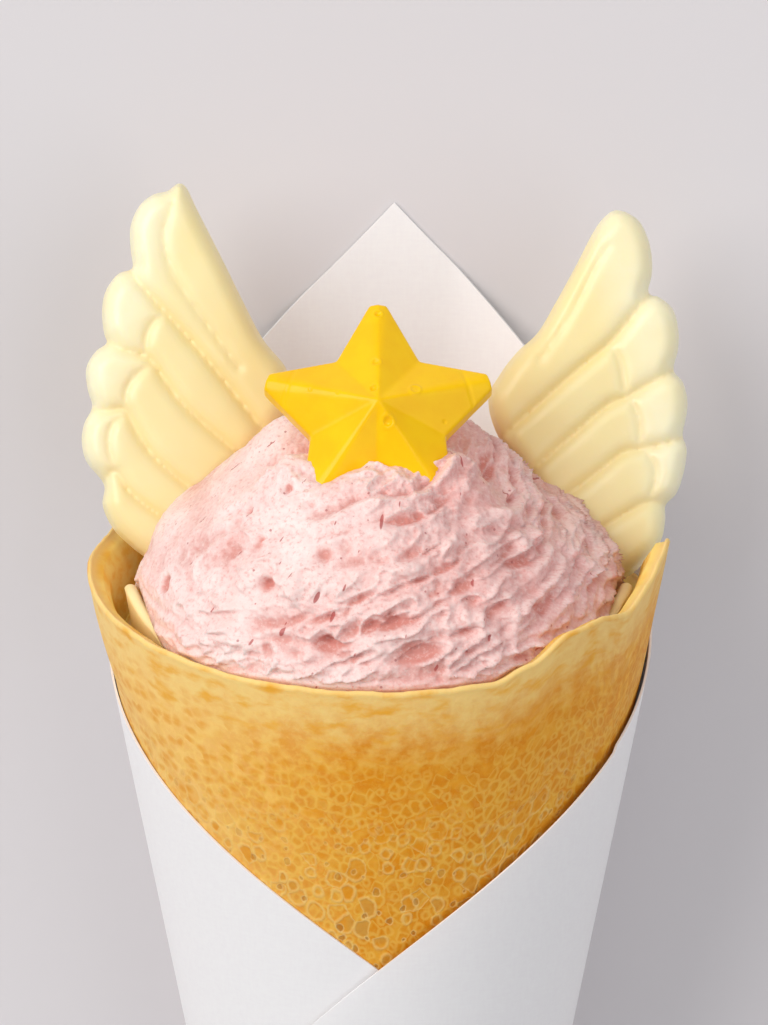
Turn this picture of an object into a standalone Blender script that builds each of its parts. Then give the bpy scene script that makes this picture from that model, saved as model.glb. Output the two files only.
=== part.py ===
"""A rolled dessert crepe in a white paper sleeve, lying on its back.

The crepe is a cone of thin pancake filled with strawberry cream. A pale chocolate wing stands at each
side of the cream and a yellow chocolate star leans on its front.

Everything is first worked out in the standing frame: millimetres, the tip of the cone at the origin,
the axis along +Z, the front along -Y and the right-hand side along +X. An empty then lays the whole
thing down, so that the back of the sleeve rests on the ground and the front looks up.
Azimuths run round the axis from the back (0) through the right (90) to the front (180).
"""

from math import atan, atan2, copysign, cos, degrees, pi, radians, sin, sqrt, tan

import bmesh
import bpy
from mathutils import Matrix, Vector, noise

MM = 0.001

# The cone, its mouth and the flat strip along its back that it rests on.
HALF_ANGLE = radians(10.23)
RIM_HEIGHT = 210.4
FLAT_AZIMUTH = radians(14.0)
FLOOR_ANGLE = atan(tan(HALF_ANGLE) * cos(FLAT_AZIMUTH))
FIT_GAP = 0.3
OVERALL_LENGTH = 248.81
WINGS_OFF_CENTRE = 0.9

# The paper sleeve: a sheet with one corner up at the back, both flaps crossing at the front.
PAPER_THICK = 0.3
PAPER_TIP_SLANT = 8.0
PEAK_SLANT = 251.5
PEAK_AZIMUTH = radians(3.0)
PEAK_HALF_ANGLE = radians(44.0)
DROP_START = radians(105.0)
DROP_SPAN = radians(71.0)
DROP_AT_FRONT = {"left": 10.2, "right": 12.6}
OVER_END = radians(255.0)
UNDER_END = radians(-215.0)
OVER_LIFT = PAPER_THICK + FIT_GAP
LIFT_START = radians(70.0)
LIFT_FULL = radians(118.0)
PAPER_STEP = radians(5.0)
PAPER_ROWS = 5

# The crepe: an outer wall, a groove and an inner turn round the cream.
CREPE_SECTORS = 72
CREPE_TIP_SLANT = 16.0
WALL_THICK = 2.3
LIP_THICK = 1.2
LIP_DEPTH = 2.5
GROOVE_WIDTH = 1.2
GROOVE_DEPTH = 9.0
INNER_THICK = 1.7
CAVITY_BOTTOM = 62.0
RIM_TILT = 4.13
FLARE, FLARE_AZIMUTH, FLARE_SPREAD, FLARE_RUN = 0.8, radians(-100), radians(65), 11.0
# How far the rim rises above the tilted ring, by azimuth: a dip beside the right wing, an ear and a lip.
RIM_RISES = (
    (-90, 0.0), (-78, -0.8), (-64, -0.8), (-52, 0.0), (54, 0.0), (68, -7.0), (83, -6.5), (91, 3.0),
    (100, 6.2), (107, 5.4), (112, 4.0), (121, 2.3), (131, 4.1), (140, 4.1), (149, 1.3), (156, 0.0),
)
INNER_TOP_SIDE = -1.2
INNER_TOP_FRONT = -9.0
WING_AZIMUTH, WING_SPREAD, INNER_DIP = radians(72.0), radians(30.0), 7.5

# The cream: a dome on a plug that fills the crepe.
CREAM_SECTORS = 64
CREAM_DOME_RINGS = 22
DOME_RADIUS = 32.2
DOME_FRONT_BULGE = 3.5
DOME_BASE = 205.0
DOME_RISE = 25.3
MOUND_RISE = 2.8
SHOULDER_DROP = {"left": 1.4, "right": 2.6}
RELIEF = 1.25

# The star, from the middle of its flat back.
STAR_CENTRE = Vector((0.0, -8.0, 232.6))
STAR_LEAN = radians(38.0)
STAR_RADIUS = 15.3
STAR_NOTCH_RADIUS = 9.2
STAR_PEAK = 8.9
STAR_SIDE = 2.8
STAR_TIP_WIDTH = 2.2
STAR_BEVEL = 0.45

# The wings: each is a plate with domed feathers on its front, in a plane that leans back.
WING_LEAN = radians(20.0)
WING_DEPTH = 7.4
WING_BACK = -1.6
PLATE_FRONT = 0.8
PLATE_EDGE = 0.9
FEATHER_FLATNESS = 0.78
FEATHER_SQUARENESS = 0.65
CAPSULE_SIDES = 12
CAPSULE_RINGS = 3
WING_OUTLINES = {
    "wing_right": (
        (16.4, 22.7), (18.8, 25.8), (21.4, 28.2), (23.8, 32.2), (26.7, 37.5), (28.7, 41.4), (30.2, 43.6),
        (32.1, 44.8), (34.8, 43.6), (36.2, 41.2), (36.8, 38.5), (36.8, 36.0), (36.3, 33.6), (37.9, 33.0),
        (39.7, 31.3), (40.4, 28.5), (40.3, 25.8), (39.7, 23.2), (41.0, 21.6), (41.6, 18.9), (41.3, 16.4),
        (40.9, 14.5), (41.5, 12.6), (41.1, 9.6), (40.1, 6.7), (38.6, 5.1), (38.6, 3.2), (38.0, 0.3),
        (35.9, -2.5), (32.9, -4.9), (29.8, -5.6), (26.4, -0.2), (21.7, 5.8), (16.4, 13.8), (14.8, 19.2),
    ),
    "wing_left": (
        (-26.8, 48.4), (-28.3, 47.3), (-30.1, 46.9), (-32.1, 45.3), (-33.3, 42.4), (-33.2, 39.0),
        (-33.0, 36.9), (-34.9, 36.2), (-36.6, 33.9), (-37.1, 31.1), (-36.8, 28.1), (-36.4, 26.9),
        (-37.9, 25.8), (-39.2, 23.6), (-39.0, 20.6), (-38.4, 18.3), (-39.5, 16.0), (-39.8, 13.4),
        (-39.1, 10.8), (-36.8, 7.9), (-37.0, 5.1), (-35.7, 2.1), (-33.5, -0.2), (-31.4, -1.8),
        (-28.6, -3.4), (-25.2, 2.4), (-19.2, 9.8), (-13.8, 15.2), (-11.5, 19.2), (-12.3, 23.4),
        (-15.4, 27.3), (-18.0, 32.2), (-21.0, 38.3), (-24.4, 45.0), (-25.7, 47.7),
    ),
}
# Each feather: root, tip, radius at the root, radius at the tip and how far its middle stands proud.
FEATHERS = {
    "wing_right": (
        ((26.0, 30.2), (32.6, 40.7), 3.7, 3.7, 0.0),
        ((17.4, 17.6), (26.0, 30.2), 3.5, 3.7, 0.0),
        ((29.8, 22.3), (35.9, 28.4), 3.6, 4.1, -0.4),
        ((30.6, 14.4), (37.2, 18.7), 3.6, 4.0, -0.4),
        ((30.3, 7.5), (37.0, 10.7), 3.6, 4.0, -0.4),
        ((32.2, -1.2), (34.1, 1.5), 3.6, 4.0, -0.4),
        ((20.4, 15.5), (29.3, 23.1), 3.5, 3.4, 1.0),
        ((25.1, 10.1), (31.3, 15.9), 3.4, 3.2, 1.0),
        ((28.7, 4.2), (33.3, 8.5), 3.4, 3.1, 1.0),
    ),
    "wing_left": (
        ((-23.2, 31.0), (-28.9, 42.0), 4.0, 4.0, 0.0),
        ((-16.6, 19.5), (-23.2, 31.0), 3.8, 4.0, 0.0),
        ((-14.6, 21.7), (-27.0, 45.4), 1.9, 1.7, 1.0),
        ((-26.6, 24.3), (-32.8, 31.6), 3.8, 4.0, -0.4),
        ((-28.6, 15.5), (-34.9, 22.2), 3.8, 4.1, -0.4),
        ((-29.3, 8.2), (-35.2, 13.6), 3.8, 4.3, -0.4),
        ((-30.6, 1.5), (-32.7, 4.4), 3.8, 4.0, -0.4),
        ((-20.1, 15.5), (-27.7, 25.9), 3.2, 3.0, 1.0),
        ((-23.6, 11.4), (-30.3, 19.5), 3.2, 3.0, 1.0),
        ((-27.7, 6.6), (-32.9, 13.2), 3.2, 2.8, 1.0),
    ),
}


def clear_scene():
    for obj in list(bpy.data.objects):
        bpy.data.objects.remove(obj, do_unlink=True)


def material(name, colour, roughness):
    """A Principled material of one colour for one sub-part."""
    made = bpy.data.materials.new(name)
    made.use_nodes = True
    shader = made.node_tree.nodes["Principled BSDF"]
    shader.inputs["Base Color"].default_value = (*colour, 1.0)
    shader.inputs["Roughness"].default_value = roughness
    shader.inputs["Metallic"].default_value = 0.0
    return made


def smoothstep(low, high, value):
    t = min(1.0, max(0.0, (value - low) / (high - low)))
    return t * t * (3 - 2 * t)


def bump(angle, centre, spread):
    """1 at the centre, falling smoothly to 0 at the spread on either side."""
    away = abs((angle - centre + pi) % (2 * pi) - pi)
    return 0.5 * (1 + cos(pi * away / spread)) if away < spread else 0.0


def backness(azimuth):
    """The flat strip: how much nearer to the axis the wall is here than on a round cone."""
    away = abs(azimuth_from_back(azimuth))
    return cos(FLAT_AZIMUTH) / cos(away) if away < FLAT_AZIMUTH else 1.0


def round_point(radius, height, azimuth):
    reach = radius * backness(azimuth)
    return Vector((reach * sin(azimuth), reach * cos(azimuth), height))


def cone_point(slant, azimuth, lift=0.0):
    """A point at this distance from the tip along the cone's surface, lifted outwards."""
    return round_point(slant * sin(HALF_ANGLE) + lift, slant * cos(HALF_ANGLE), azimuth)


def cone_radius(height):
    return height * tan(HALF_ANGLE)


def mesh_object(name, points, faces, finish, parent):
    mesh = bpy.data.meshes.new(name)
    mesh.from_pydata([Vector(p) * MM for p in points], [], faces)
    return finished(name, mesh, finish, parent)


def finished(name, mesh, finish, parent):
    """An object with outward normals and smooth shading, under the empty that lays it down."""
    shape = bmesh.new()
    shape.from_mesh(mesh)
    bmesh.ops.recalc_face_normals(shape, faces=shape.faces)
    shape.to_mesh(mesh)
    shape.free()
    mesh.shade_smooth()
    mesh.set_sharp_from_angle(angle=radians(35))
    obj = bpy.data.objects.new(name, mesh)
    bpy.context.scene.collection.objects.link(obj)
    if finish:
        mesh.materials.append(finish)
    obj.parent = parent
    return obj


def lathe(profile_at, sectors):
    """A closed solid from a profile that may change with azimuth. Its ends lie on the axis."""
    columns = [profile_at(2 * pi * i / sectors) for i in range(sectors)]
    rings = len(columns[0]) - 2
    points = [columns[0][0], columns[0][-1]]
    for column in columns:
        points += column[1:-1]
    faces = []
    for i in range(sectors):
        here = 2 + i * rings
        there = 2 + (i + 1) % sectors * rings
        faces.append((0, there, here))
        faces.append((1, here + rings - 1, there + rings - 1))
        faces += [(here + j, there + j, there + j + 1, here + j + 1) for j in range(rings - 1)]
    return points, faces


def paper_top(azimuth):
    """How far up the cone the sheet reaches: straight on each side of the peak, dropping at the front."""
    away = abs(azimuth - PEAK_AZIMUTH)
    turned = away * sin(HALF_ANGLE)
    edge = PEAK_SLANT * sin(PEAK_HALF_ANGLE) / sin(PEAK_HALF_ANGLE + turned)
    drop = DROP_AT_FRONT["right" if azimuth > 0 else "left"]
    return edge - drop * (max(0.0, away - DROP_START) / DROP_SPAN) ** 2


def paper_azimuths():
    """Even steps from the end of the under flap to the end of the over flap, with one on the peak."""
    down = round((PEAK_AZIMUTH - UNDER_END) / PAPER_STEP)
    up = round((OVER_END - PEAK_AZIMUTH) / PAPER_STEP)
    left = [UNDER_END + (PEAK_AZIMUTH - UNDER_END) * i / down for i in range(down)]
    right = [PEAK_AZIMUTH + (OVER_END - PEAK_AZIMUTH) * i / up for i in range(up + 1)]
    return left + right


def paper_sleeve(finish, parent):
    """The rolled sheet: an inner and an outer skin joined round all four edges."""
    azimuths = paper_azimuths()
    across = len(azimuths)
    points = []
    for thick in (0.0, PAPER_THICK):
        for azimuth in azimuths:
            lift = thick + OVER_LIFT * smoothstep(LIFT_START, LIFT_FULL, azimuth)
            top = paper_top(azimuth)
            for row in range(PAPER_ROWS + 1):
                slant = PAPER_TIP_SLANT + (top - PAPER_TIP_SLANT) * row / PAPER_ROWS
                points.append(cone_point(slant, azimuth, lift))

    def at(skin, column, row):
        return (skin * across + column) * (PAPER_ROWS + 1) + row

    faces = []
    for i in range(across - 1):
        for j in range(PAPER_ROWS):
            faces.append((at(0, i, j), at(0, i, j + 1), at(0, i + 1, j + 1), at(0, i + 1, j)))
            faces.append((at(1, i, j), at(1, i + 1, j), at(1, i + 1, j + 1), at(1, i, j + 1)))
        for j in (0, PAPER_ROWS):
            faces.append((at(0, i, j), at(0, i + 1, j), at(1, i + 1, j), at(1, i, j)))
    for i in (0, across - 1):
        for j in range(PAPER_ROWS):
            faces.append((at(0, i, j), at(1, i, j), at(1, i, j + 1), at(0, i, j + 1)))
    return mesh_object("paper_sleeve", points, faces, finish, parent)


def rim_height(azimuth):
    """The crepe's edge is higher at the back and rises and dips by the steps in RIM_RISES."""
    turn = degrees(azimuth_from_back(azimuth))
    rise = 0.0
    for (low, start), (high, end) in zip(RIM_RISES, RIM_RISES[1:]):
        if low <= turn < high:
            rise = start + (end - start) * smoothstep(low, high, turn)
    return RIM_HEIGHT + RIM_TILT * cos(azimuth) + rise


def wall_thick(below):
    """The outer wall thins to a lip over the last few millimetres below the rim."""
    return LIP_THICK + (WALL_THICK - LIP_THICK) * min(1.0, max(0.0, below / LIP_DEPTH))


def flare(azimuth, height):
    """How far the crepe leans out above the paper, on the left."""
    above = height - paper_top(azimuth_from_back(azimuth)) * cos(HALF_ANGLE)
    return FLARE * bump(azimuth, FLARE_AZIMUTH, FLARE_SPREAD) * smoothstep(0.0, FLARE_RUN, above)


def azimuth_from_back(azimuth):
    """The same azimuth between -180 and 180 degrees."""
    return (azimuth + pi) % (2 * pi) - pi


def inner_top(azimuth):
    """The inner turn's ragged top edge: low at the front, where the cream covers it."""
    front = smoothstep(0.25, 0.85, -cos(azimuth))
    ragged = 0.9 * noise.noise(Vector((2.2 * cos(azimuth), 2.2 * sin(azimuth), 4.0)))
    level = INNER_TOP_SIDE + (INNER_TOP_FRONT - INNER_TOP_SIDE) * front
    dips = bump(azimuth, WING_AZIMUTH, WING_SPREAD) + bump(azimuth, -WING_AZIMUTH, WING_SPREAD)
    return RIM_HEIGHT + level + ragged - INNER_DIP * dips


def cavity_radius(height):
    """The inner face of the inner turn, which thickens towards the tip where the turns press together."""
    wall = WALL_THICK + GROOVE_WIDTH + INNER_THICK
    return cone_radius(height) - FIT_GAP - wall


def crepe_profile(azimuth):
    rim = rim_height(azimuth)
    outer = cone_radius(rim) - FIT_GAP + flare(azimuth, rim)
    groove = RIM_HEIGHT - GROOVE_DEPTH
    top = inner_top(azimuth)
    corner = 0.5
    low = CREPE_TIP_SLANT * cos(HALF_ANGLE)
    shape = [(0.0, low - 1.5), (0.6 * cone_radius(low), low - 0.8)]
    for share in (0.0, 0.25, 0.5, 0.75, 0.92, 0.96, 1.0):
        height = low + (rim - corner - low) * share
        shape.append((cone_radius(height) - FIT_GAP + flare(azimuth, height), height))
    shape += [(outer - 0.25 * LIP_THICK, rim), (outer - 0.75 * LIP_THICK, rim)]
    for below in (corner, LIP_DEPTH):
        face = cone_radius(rim - below) - FIT_GAP - wall_thick(below)
        shape.append((face + flare(azimuth, rim - below), rim - below))
    shape += [
        (cone_radius(groove) - FIT_GAP - WALL_THICK, groove),
        (cone_radius(groove) - FIT_GAP - WALL_THICK - GROOVE_WIDTH, groove),
    ]
    shift = FIT_GAP + WALL_THICK + GROOVE_WIDTH
    shape += [
        (cone_radius(top - corner) - shift, top - corner),
        (cone_radius(top) - shift - 0.3 * INNER_THICK, top),
        (cone_radius(top) - shift - 0.75 * INNER_THICK, top - 0.1),
    ]
    depth = top - corner - CAVITY_BOTTOM
    for share in (0.0, 0.1, 0.4, 0.75, 1.0):
        height = top - corner - depth * share
        shape.append((cavity_radius(height), height))
    shape += [(0.5 * cavity_radius(CAVITY_BOTTOM), CAVITY_BOTTOM - 1.6), (0.0, CAVITY_BOTTOM - 2.2)]
    return [round_point(radius, height, azimuth) for radius, height in shape]


def crepe(finish, parent):
    points, faces = lathe(crepe_profile, CREPE_SECTORS)
    return mesh_object("crepe", points, faces, finish, parent)


def cream_relief(point):
    """Spatula strokes that rise to the right, deep at the front and right and shallow at the upper left."""
    around = atan2(point.x, -point.y) * DOME_RADIUS
    stroke = point.z - 0.3 * around
    broad = noise.noise(Vector((0.035 * around, 0.16 * stroke, 7.0)))
    ridge = 1 - 2 * abs(noise.noise(Vector((0.06 * around, 0.3 * stroke, 3.0))))
    calm = smoothstep(-24, 4, point.x) * 0.55 + 0.45
    return RELIEF * calm * (0.9 * broad + 0.45 * (ridge - 0.6))


def dome_point(azimuth, climb):
    """A point of the dome: climb is the angle up from its widest ring."""
    front = smoothstep(0.2, 0.95, -cos(azimuth))
    reach = (DOME_RADIUS + DOME_FRONT_BULGE * front) * cos(climb)
    rise = DOME_RISE * sin(climb)
    drop = SHOULDER_DROP["right" if sin(azimuth) > 0 else "left"] * sin(azimuth) ** 2
    drop *= bump(climb, radians(48), radians(36))
    reach -= 0.7 * drop
    rise -= 0.7 * drop
    mound = MOUND_RISE * bump(azimuth, pi, radians(80)) * bump(climb, radians(56), radians(30))
    point = Vector((reach * sin(azimuth), reach * cos(azimuth), DOME_BASE + rise + mound))
    normal = Vector((point.x, point.y, (point.z - DOME_BASE) * DOME_RADIUS / DOME_RISE)).normalized()
    fade = smoothstep(radians(3), radians(12), climb) * (1 - smoothstep(radians(56), radians(80), climb))
    point += normal * cream_relief(point) * fade
    if point.z < rim_height(azimuth) + 0.5:
        limit = cone_radius(point.z) - wall_thick(rim_height(azimuth) - point.z) - 2 * FIT_GAP
        across = sqrt(point.x**2 + point.y**2)
        point = Vector((point.x, point.y, 0)) * min(1.0, limit / across) + Vector((0, 0, point.z))
    return point


def cream_profile(azimuth):
    """Up the plug inside the crepe, out over the inner turn's edge, and over the dome."""
    floor = CAVITY_BOTTOM + FIT_GAP
    column = [Vector((0, 0, floor - 1.9))]
    column.append(round_point(0.5 * cavity_radius(CAVITY_BOTTOM), floor - 1.3, azimuth))
    edge = inner_top(azimuth) - 1.0
    for share in (0.0, 0.3, 0.65, 0.92, 1.0):
        height = floor + (edge - floor) * share
        column.append(round_point(cavity_radius(height) - FIT_GAP, height, azimuth))
    seat = max(inner_top(azimuth) + FIT_GAP, DOME_BASE - 5.0)
    front = smoothstep(0.2, 0.95, -cos(azimuth))
    wide = min(DOME_RADIUS + DOME_FRONT_BULGE * front, cone_radius(seat) - WALL_THICK - 3 * FIT_GAP)
    climb_start = max(0.0, (seat - DOME_BASE) / DOME_RISE)
    first = max(0.02, climb_start + 0.02)
    column.append(round_point(cavity_radius(edge + 1) - FIT_GAP, inner_top(azimuth) + FIT_GAP, azimuth))
    if front > 0.0:
        column.append(round_point(wide, seat, azimuth))
    else:
        column.append(column[-1] + Vector((0, 0, 0.15)))
    for ring in range(CREAM_DOME_RINGS):
        climb = first + (pi / 2 - first) * ring / CREAM_DOME_RINGS
        column.append(dome_point(azimuth, climb))
    column.append(Vector((0, 0, DOME_BASE + DOME_RISE)))
    return column


def star_outline(grow):
    """The star's outline with blunt tips, as flat points."""
    outline = []
    for arm in range(5):
        turn = radians(90 + 72 * arm)
        tip = STAR_RADIUS + grow
        side = (STAR_TIP_WIDTH / 2 + grow) / tip
        outline.append((tip * cos(turn - side), tip * sin(turn - side)))
        outline.append((tip * cos(turn + side), tip * sin(turn + side)))
        notch = STAR_NOTCH_RADIUS + grow
        outline.append((notch * cos(turn + radians(36)), notch * sin(turn + radians(36))))
    return outline


def star_mesh(name, grow, finish, parent):
    """A five-pointed star with a flat back, a low side wall and a ridge along each arm."""
    outline = star_outline(grow)
    count = len(outline)
    points = [(x, y, -grow) for x, y in outline]
    points += [(x, y, STAR_SIDE + grow) for x, y in outline]
    points.append((0.0, 0.0, STAR_PEAK + 1.5 * grow))
    middle = 2 * count
    faces = [tuple(reversed(range(count)))]
    for i in range(count):
        after = (i + 1) % count
        faces.append((i, after, count + after, count + i))
        faces.append((count + i, count + after, middle))
    placed = [STAR_CENTRE + star_axes() @ Vector(p) for p in points]
    obj = mesh_object(name, placed, faces, finish, parent)
    obj.data.set_sharp_from_angle(angle=radians(20))
    return obj


def star_axes():
    """The star's own right, up and outward directions as the columns of a matrix."""
    right = Vector((1, 0, 0))
    outward = Vector((0, -cos(STAR_LEAN), sin(STAR_LEAN)))
    return Matrix((right, outward.cross(right), outward)).transposed()


def squarer(value):
    """Makes a feather's section flatter on top than a circle."""
    return copysign(abs(value) ** FEATHER_SQUARENESS, value)


def capsule(start, end, start_radius, end_radius, proud, grow):
    """A feather: a round-ended tapered rod, flattened in depth, as points and faces in the wing's plane."""
    start, end = Vector((*start, proud)), Vector((*end, proud))
    along = (end - start).normalized()
    side = along.cross(Vector((0, 0, 1)))
    depth = Vector((0, 0, FEATHER_FLATNESS))
    rings = []
    for centre, radius, sign in ((start, start_radius, -1), (end, end_radius, 1)):
        steps = range(CAPSULE_RINGS) if sign > 0 else reversed(range(CAPSULE_RINGS))
        for step in steps:
            angle = pi / 2 * step / CAPSULE_RINGS
            rings.append((centre + along * sign * (radius + grow) * sin(angle), (radius + grow) * cos(angle)))
    points = [start - along * (start_radius + grow), end + along * (end_radius + grow)]
    for centre, radius in rings:
        for i in range(CAPSULE_SIDES):
            turn = 2 * pi * i / CAPSULE_SIDES
            points.append(centre + side * radius * squarer(cos(turn)) + depth * radius * squarer(sin(turn)))
    faces = []
    last = 2 + (len(rings) - 1) * CAPSULE_SIDES
    for i in range(CAPSULE_SIDES):
        after = (i + 1) % CAPSULE_SIDES
        faces.append((0, 2 + after, 2 + i))
        faces.append((1, last + i, last + after))
        for ring in range(len(rings) - 1):
            low, high = 2 + ring * CAPSULE_SIDES, 2 + (ring + 1) * CAPSULE_SIDES
            faces.append((low + i, low + after, high + after, high + i))
    return points, faces


def offset_outline(outline, distance):
    """The outline moved outwards by this distance, or inwards if it is negative."""
    count = len(outline)
    area = sum(outline[i - 1][0] * outline[i][1] - outline[i][0] * outline[i - 1][1] for i in range(count))
    sign = 1 if area > 0 else -1
    moved = []
    for i in range(count):
        before, after = Vector(outline[i - 1]), Vector(outline[(i + 1) % count])
        along = (after - before).normalized()
        moved.append((outline[i][0] + sign * distance * along.y, outline[i][1] - sign * distance * along.x))
    return moved


def plate(outline, grow):
    """The wing's body: the outline with a slope round its front edge."""
    outer = offset_outline(outline, grow)
    inner = offset_outline(outline, grow - PLATE_EDGE)
    count = len(outline)
    back = WING_BACK - 0.6 - grow
    points = [(x, y, back) for x, y in outer]
    points += [(x, y, PLATE_FRONT - PLATE_EDGE + grow) for x, y in outer]
    points += [(x, y, PLATE_FRONT + grow) for x, y in inner]
    faces = [tuple(reversed(range(count))), tuple(range(2 * count, 3 * count))]
    for level in (0, count):
        for i in range(count):
            after = (i + 1) % count
            faces.append((level + i, level + after, level + count + after, level + count + i))
    return points, faces


def wing_matrix():
    """Takes the wing's plane to the standing frame."""
    place = Matrix.Translation(Vector((0, WING_DEPTH, RIM_HEIGHT)) * MM)
    return place @ Matrix.Rotation(radians(90) - WING_LEAN, 4, "X")


def wing(name, grow, finish, parent):
    """The plate and all its feathers joined into one solid, with a flat back."""
    side = name.replace("_cutter", "")
    parts = bpy.data.collections.new(name + "_feathers")
    bpy.context.scene.collection.children.link(parts)
    points, faces = plate(WING_OUTLINES[side], grow)
    body = mesh_object(name + "_plate", points, faces, None, None)
    feathers = []
    for index, (root, tip, root_radius, tip_radius, proud) in enumerate(FEATHERS[side]):
        points, faces = capsule(root, tip, root_radius, tip_radius, proud, grow)
        feather = mesh_object(f"{name}_feather_{index}", points, faces, None, None)
        bpy.context.scene.collection.objects.unlink(feather)
        parts.objects.link(feather)
        feathers.append(feather)
    join = body.modifiers.new("join", "BOOLEAN")
    join.operation = "UNION"
    join.operand_type = "COLLECTION"
    join.collection = parts
    bpy.context.view_layer.update()
    graph = bpy.context.evaluated_depsgraph_get()
    joined = bpy.data.meshes.new_from_object(body.evaluated_get(graph))
    for helper in [body, *feathers]:
        bpy.data.objects.remove(helper, do_unlink=True)
    bpy.data.collections.remove(parts)
    shape = bmesh.new()
    shape.from_mesh(joined)
    cut_back(shape, (WING_BACK - grow) * MM)
    shape.transform(wing_matrix())
    shape.to_mesh(joined)
    shape.free()
    return finished(name, joined, finish, parent)


def cut_back(shape, level):
    """Cuts the joined feathers flat behind this level and closes the back."""
    everything = shape.verts[:] + shape.edges[:] + shape.faces[:]
    cut = bmesh.ops.bisect_plane(
        shape, geom=everything, plane_co=(0, 0, level), plane_no=(0, 0, -1), clear_outer=True
    )
    edges = [e for e in cut["geom_cut"] if isinstance(e, bmesh.types.BMEdge)]
    bmesh.ops.triangle_fill(shape, edges=edges, use_beauty=True)
    bmesh.ops.remove_doubles(shape, verts=shape.verts[:], dist=0.02 * MM)
    bmesh.ops.dissolve_degenerate(shape, edges=shape.edges[:], dist=0.02 * MM)


def hide_cutter(obj):
    obj.hide_render = True
    obj.display_type = "WIRE"


def cream(finish, parent, cutters):
    """The cream, with a pocket for the star and for each wing."""
    points, faces = lathe(cream_profile, CREAM_SECTORS)
    obj = mesh_object("cream", points, faces, finish, parent)
    for cutter in cutters:
        hide_cutter(cutter)
        cut = obj.modifiers.new(cutter.name, "BOOLEAN")
        cut.operation = "DIFFERENCE"
        cut.object = cutter
    return obj


def lay_down():
    """The empty that turns the standing frame onto its back, with the back strip on the ground."""
    lying = bpy.data.objects.new("lying", None)
    bpy.context.scene.collection.objects.link(lying)
    lying.rotation_euler = (FLOOR_ANGLE - radians(90), 0, 0)
    outer = PAPER_THICK * cos(FLAT_AZIMUTH) * cos(FLOOR_ANGLE)
    tip = cone_point(PAPER_TIP_SLANT, pi, OVER_LIFT + PAPER_THICK)
    near = tip.z * cos(FLOOR_ANGLE) + tip.y * sin(FLOOR_ANGLE)
    lying.location = Vector((-WINGS_OFF_CENTRE, -near - OVERALL_LENGTH / 2, outer)) * MM
    return lying


def build():
    clear_scene()
    lying = lay_down()
    paper = material("paper", (0.86, 0.85, 0.85), 0.7)
    pancake = material("pancake", (0.72, 0.38, 0.08), 0.6)
    strawberry = material("strawberry_cream", (0.82, 0.46, 0.42), 0.5)
    yellow = material("yellow_chocolate", (0.95, 0.62, 0.04), 0.35)
    pale = material("pale_chocolate", (0.93, 0.82, 0.48), 0.35)
    paper_sleeve(paper, lying)
    crepe(pancake, lying)
    star = star_mesh("star", 0.0, yellow, lying)
    bevel = star.modifiers.new("soft_edges", "BEVEL")
    bevel.width = STAR_BEVEL * MM
    bevel.segments = 1
    bevel.limit_method = "ANGLE"
    cutters = [star_mesh("star_cutter", FIT_GAP, None, lying)]
    for name in WING_OUTLINES:
        wing(name, 0.0, pale, lying)
        cutters.append(wing(name + "_cutter", FIT_GAP, None, lying))
    cream(strawberry, lying, cutters)


build()
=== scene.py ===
"""The looks of a rolled dessert crepe in a white paper sleeve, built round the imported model.

Shapes are worked out in the standing frame, in millimetres: the tip of the cone at the origin, the axis
along +Z, the front along -Y and the right-hand side along +X. The matrix `lying` takes that frame to the
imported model's, where the sleeve lies on its back. Azimuths run round the axis from the back (0) through
the right (90) to the front (180).
"""

from math import atan, atan2, cos, degrees, floor, pi, radians, sin, sqrt, tan
from types import SimpleNamespace

import bmesh
import bpy
import numpy as np
from mathutils import Matrix, Vector, geometry, noise

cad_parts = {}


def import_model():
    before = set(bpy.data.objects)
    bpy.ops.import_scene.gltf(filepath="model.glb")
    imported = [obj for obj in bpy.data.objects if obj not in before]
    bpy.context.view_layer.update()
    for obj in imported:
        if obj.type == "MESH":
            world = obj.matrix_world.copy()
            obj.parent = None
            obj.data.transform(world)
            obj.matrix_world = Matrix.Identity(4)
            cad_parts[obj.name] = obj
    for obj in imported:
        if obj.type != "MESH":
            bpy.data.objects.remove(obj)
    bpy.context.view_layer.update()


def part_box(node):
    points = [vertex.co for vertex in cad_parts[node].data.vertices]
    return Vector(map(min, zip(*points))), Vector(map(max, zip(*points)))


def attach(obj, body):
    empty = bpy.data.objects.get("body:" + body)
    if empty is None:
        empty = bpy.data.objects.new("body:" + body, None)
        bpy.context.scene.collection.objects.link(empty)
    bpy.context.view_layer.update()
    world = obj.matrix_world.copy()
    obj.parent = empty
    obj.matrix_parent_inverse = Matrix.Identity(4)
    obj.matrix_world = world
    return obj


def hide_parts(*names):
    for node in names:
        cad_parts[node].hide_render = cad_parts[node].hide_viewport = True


MM = 0.001

# The cone and the flat strip along its back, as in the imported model, and the space between neighbours.
HALF_ANGLE = radians(10.23)
RIM_HEIGHT = 210.4
RIM_RADIUS = RIM_HEIGHT * tan(HALF_ANGLE)
FLAT_AZIMUTH = radians(14.0)
FLOOR_ANGLE = atan(tan(HALF_ANGLE) * cos(FLAT_AZIMUTH))
FIT_GAP = 0.3

# The paper sleeve.
PAPER_THICK = 0.3
PAPER_TIP_SLANT = 8.0
PEAK_SLANT = 251.5
PEAK_AZIMUTH = radians(3.0)
PEAK_HALF_ANGLE = radians(44.0)
DROP_START = radians(105.0)
DROP_SPAN = radians(71.0)
DROP_AT_FRONT = {"left": 10.2, "right": 12.6}
OVER_END = radians(255.0)
UNDER_END = radians(-215.0)
OVER_LIFT = PAPER_THICK + FIT_GAP
LIFT_START = radians(70.0)
LIFT_FULL = radians(118.0)
PAPER_STEP = radians(2.0)
PAPER_ROWS = 64

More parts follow.
